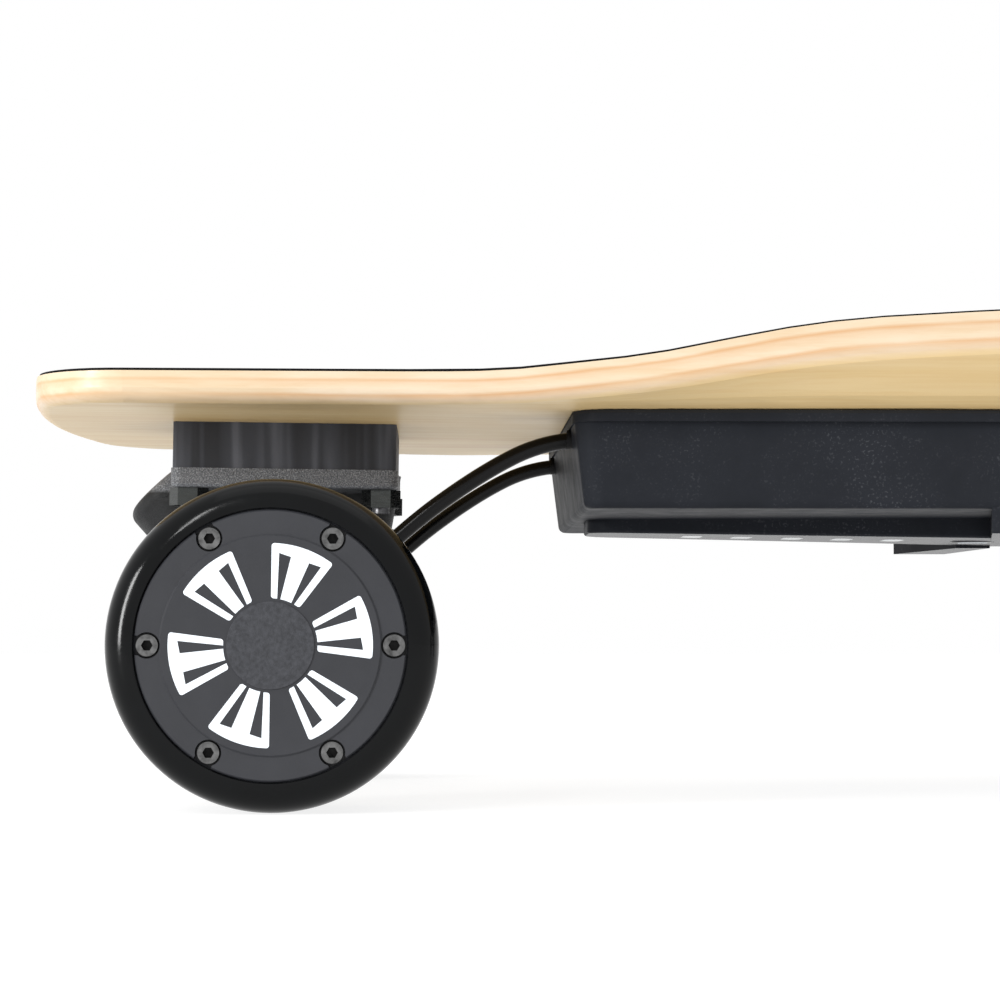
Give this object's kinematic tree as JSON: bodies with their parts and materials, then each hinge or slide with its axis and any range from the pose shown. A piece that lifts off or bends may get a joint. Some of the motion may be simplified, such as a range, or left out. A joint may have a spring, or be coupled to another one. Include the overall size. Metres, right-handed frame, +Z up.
{
  "type": "electric skateboard",
  "caption": "Electric skateboard with hub motors in the rear wheels, a slim battery and controller enclosure under the deck and sprung kingpin trucks that steer when the board leans.",
  "frame": {"origin": "on the ground under the middle of the board, midway between the axles and between the wheels", "axes": "+X towards the nose (front truck), +Y to the rider's left, +Z up; the board stands on its four wheels"},
  "size_m": [0.74, 0.2352, 0.1292],
  "materials": {
    "maple_ply": "clear gloss lacquer over pale veneer",
    "grip_grit": "coarse abrasive grit",
    "riser_rubber": "moulded matte",
    "cast_black": "satin powder coat over a cast surface",
    "zinc_steel": "bright zinc",
    "black_steel": "black oxide",
    "bushing_urethane": "matte",
    "cup_nylon": "matte",
    "tyre_urethane": "satin",
    "can_aluminium": "machined",
    "cap_black": "satin anodised",
    "graphic_white": "matte film",
    "magnet_nickel": "nickel",
    "bearing_steel": "polished",
    "stator_steel": "laminated",
    "copper": "enamelled wire",
    "core_nylon": "satin",
    "shell_plastic": "fine texture",
    "gasket_foam": "closed cell",
    "cell_wrap": "shrink wrap",
    "holder_plastic": "matte",
    "board_green": "solder mask",
    "part_black": "moulded",
    "heat_aluminium": "milled",
    "button_grey": "satin",
    "window_clear": "frosted",
    "socket_black": "satin",
    "cap_rubber": "matte",
    "lead_sleeve": "matte sleeve"
  },
  "bodies": {
    "board": {"deck": "maple_ply", "grip_tape": "grip_grit", "rear_riser": "riser_rubber", "front_riser": "riser_rubber", "rear_baseplate": "cast_black", "front_baseplate": "cast_black", "truck_bolts": "black_steel", "truck_nuts": "zinc_steel", "kingpins": "zinc_steel", "kingpin_nuts": "zinc_steel", "bushing_washers": "zinc_steel", "rear_bushings": "bushing_urethane", "front_bushings": "bushing_urethane", "rear_pivot_cup": "cup_nylon", "front_pivot_cup": "cup_nylon", "enclosure_shell": "shell_plastic", "enclosure_gasket": "gasket_foam", "enclosure_screws": "black_steel", "battery_cells": "cell_wrap", "battery_holders": "holder_plastic", "battery_board": "board_green", "controller_board": "board_green", "controller_parts": "part_black", "heat_plate": "heat_aluminium", "indicator_windows": "window_clear", "charge_socket": "socket_black", "lead_grommets": "cap_rubber", "left_motor_lead": "lead_sleeve", "right_motor_lead": "lead_sleeve"},
    "button": {"power_button": "button_grey"},
    "port_cap": {"charge_cap": "cap_rubber"},
    "rear_truck": {"rear_hanger": "cast_black", "motor_shafts": "zinc_steel", "stators": "stator_steel", "windings": "copper"},
    "front_truck": {"front_hanger": "cast_black", "front_axle": "zinc_steel", "axle_nuts": "zinc_steel", "axle_spacers": "zinc_steel"},
    "rear_left_wheel": {"rear_left_tyre": "tyre_urethane", "rear_left_rotor_can": "can_aluminium", "rear_left_magnets": "magnet_nickel", "rear_left_motor_cap": "cap_black", "rear_left_cap_screws": "black_steel", "rear_left_cap_graphic": "graphic_white", "rear_left_bearings": "bearing_steel"},
    "rear_right_wheel": {"rear_right_tyre": "tyre_urethane", "rear_right_rotor_can": "can_aluminium", "rear_right_magnets": "magnet_nickel", "rear_right_motor_cap": "cap_black", "rear_right_cap_screws": "black_steel", "rear_right_cap_graphic": "graphic_white", "rear_right_bearings": "bearing_steel"},
    "front_left_wheel": {"front_left_tyre": "tyre_urethane", "front_left_core": "core_nylon", "front_left_bearings": "bearing_steel"},
    "front_right_wheel": {"front_right_tyre": "tyre_urethane", "front_right_core": "core_nylon", "front_right_bearings": "bearing_steel"}
  },
  "joints": [
    {"name": "rear_steer", "type": "hinge", "parent": "board", "child": "rear_truck", "pos_m": [-0.2823, 0, 0.06], "axis": [0.9232, 0, -0.3844], "range_deg": [-10, 10], "stiffness_Nm_per_rad": 60, "deforming": ["rear_bushings", "rear_pivot_cup", "left_motor_lead", "right_motor_lead"]},
    {"name": "front_steer", "type": "hinge", "parent": "board", "child": "front_truck", "pos_m": [0.2823, 0, 0.06], "axis": [0.9232, 0, 0.3844], "range_deg": [-10, 10], "stiffness_Nm_per_rad": 60, "deforming": ["front_bushings", "front_pivot_cup"]},
    {"name": "power_button_press", "type": "slide", "parent": "board", "child": "button", "axis": [0, 0, 1], "range_m": [0, 0.001], "stiffness_N_per_m": 1500, "springref_m": -0.0005},
    {"name": "charge_cap_hinge", "type": "hinge", "parent": "board", "child": "port_cap", "pos_m": [0.1275, 0.0846, 0.088], "axis": [0, 0, 1], "range_deg": [0, 110]},
    {"name": "rear_left_wheel_spin", "type": "hinge", "parent": "rear_truck", "child": "rear_left_wheel", "pos_m": [-0.2988, 0.0925, 0.0415], "axis": [0, 1, 0], "continuous": true},
    {"name": "rear_right_wheel_spin", "type": "hinge", "parent": "rear_truck", "child": "rear_right_wheel", "pos_m": [-0.2988, -0.0925, 0.0415], "axis": [0, 1, 0], "continuous": true},
    {"name": "front_left_wheel_spin", "type": "hinge", "parent": "front_truck", "child": "front_left_wheel", "pos_m": [0.2988, 0.0925, 0.0415], "axis": [0, 1, 0], "continuous": true},
    {"name": "front_right_wheel_spin", "type": "hinge", "parent": "front_truck", "child": "front_right_wheel", "pos_m": [0.2988, -0.0925, 0.0415], "axis": [0, 1, 0], "continuous": true}
  ]
}
